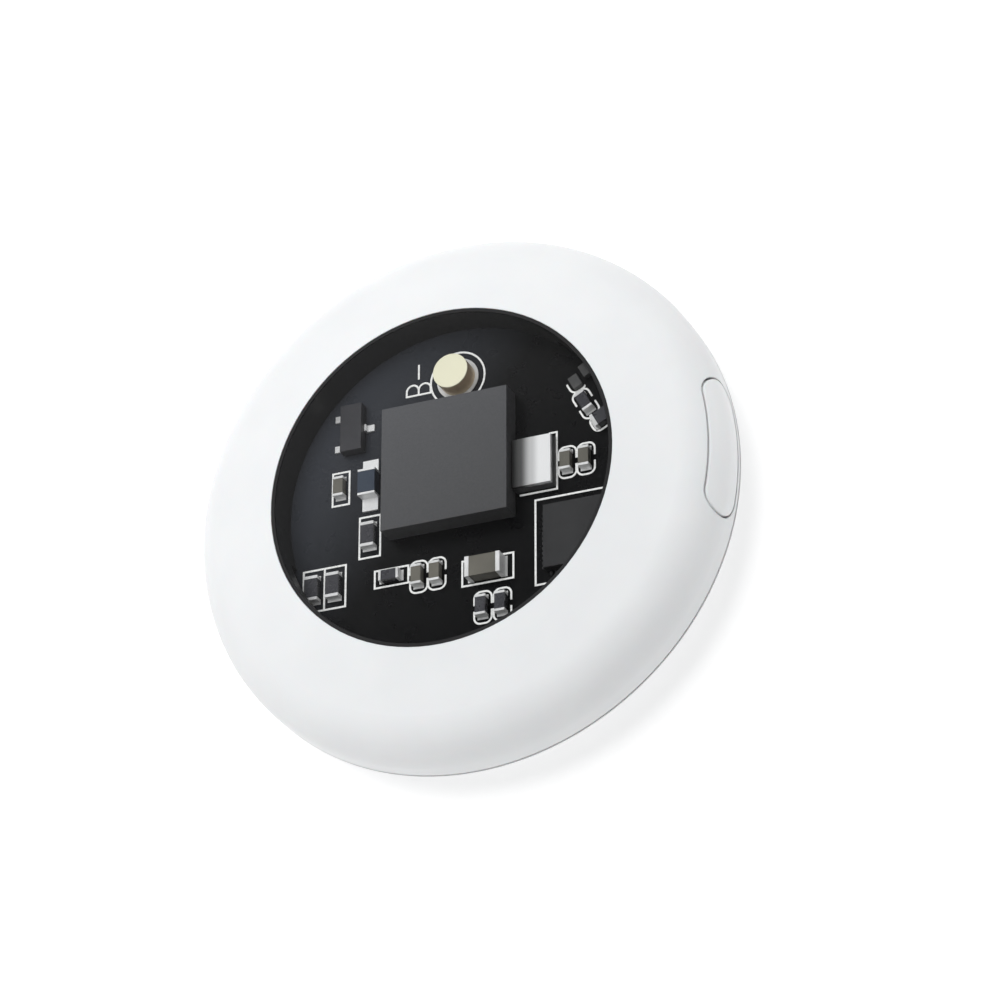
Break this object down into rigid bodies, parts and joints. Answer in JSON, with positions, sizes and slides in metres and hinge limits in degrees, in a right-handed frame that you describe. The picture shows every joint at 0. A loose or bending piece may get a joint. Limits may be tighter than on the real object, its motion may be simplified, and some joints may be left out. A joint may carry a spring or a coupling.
{
  "type": "bluetooth tracker tag",
  "caption": "Small round tracker tag: white case, clear window over a populated circuit board, side push button, and a back half that carries a coin cell.",
  "frame": {"origin": "centre of the round case, on the flat of its back cover", "axes": "+Z out through the window, +X towards the side button, +Y completes a right-handed frame; the tag lies on its back"},
  "size_m": [0.032, 0.032, 0.008],
  "materials": {
    "case_white": "satin white",
    "button_white": "satin white",
    "clear_window": "clear, polished",
    "bezel_black": "semi-matte black",
    "board_black": "glossy solder mask",
    "solder_silver": "bright tin",
    "print_white": "printed ink",
    "pin_gold": "pale gold plate",
    "spring_steel": "nickel plate",
    "holder_black": "moulded",
    "screw_steel": "plated",
    "sounder_grey": "moulded",
    "chip_black": "moulded epoxy",
    "crystal_ceramic": "fired ceramic",
    "crystal_metal": "bright metal lid",
    "diode_grey": "moulded epoxy",
    "capacitor_tan": "ceramic",
    "resistor_black": "glazed",
    "bead_grey": "ferrite ceramic",
    "antenna_white": "ceramic",
    "switch_black": "moulded",
    "plunger_white": "moulded",
    "pad_grey": "foam",
    "cell_steel": "stainless steel",
    "gasket_grey": "polymer seal",
    "core_dark": "pressed powder"
  },
  "bodies": {
    "back_half": {"back_cover": "case_white", "cell_pad": "pad_grey", "cell_can": "cell_steel", "cell_gasket": "gasket_grey", "cell_core": "core_dark", "cell_cap": "cell_steel"},
    "front_half": {"front_shell": "case_white", "window_lens": "clear_window", "window_bezel": "bezel_black", "switch_body": "switch_black", "switch_frame": "spring_steel", "circuit_board": "board_black", "board_pads": "solder_silver", "board_print": "print_white", "negative_pin": "pin_gold", "negative_spring": "spring_steel", "positive_spring": "spring_steel", "cell_holder": "holder_black", "case_screws": "screw_steel", "sounder_case": "sounder_grey", "radio_chip": "chip_black", "radio_chip_pads": "solder_silver", "crystal_base": "crystal_ceramic", "crystal_lid": "crystal_metal", "regulator_body": "chip_black", "regulator_leads": "solder_silver", "diode_body": "diode_grey", "diode_leads": "solder_silver", "capacitor_bodies": "capacitor_tan", "capacitor_ends": "solder_silver", "resistor_bodies": "resistor_black", "resistor_ends": "solder_silver", "ferrite_beads": "bead_grey", "chip_antenna": "antenna_white"},
    "button": {"button_cap": "button_white"},
    "plunger": {"switch_plunger": "plunger_white"}
  },
  "joints": [
    {"name": "front_lift", "type": "slide", "parent": "back_half", "child": "front_half", "axis": [0, 0, 1], "range_m": [0, 0.02]},
    {"name": "button_press", "type": "slide", "parent": "front_half", "child": "button", "axis": [-1, 0, 0], "range_m": [0, 0.0003], "stiffness_N_per_m": 5000},
    {"name": "plunger_press", "type": "slide", "parent": "front_half", "child": "plunger", "axis": [-1, 0, 0], "range_m": [0, 0.0003]}
  ],
  "couplings": [
    {"joint": "plunger_press", "follows": "button_press", "ratio": 1}
  ]
}
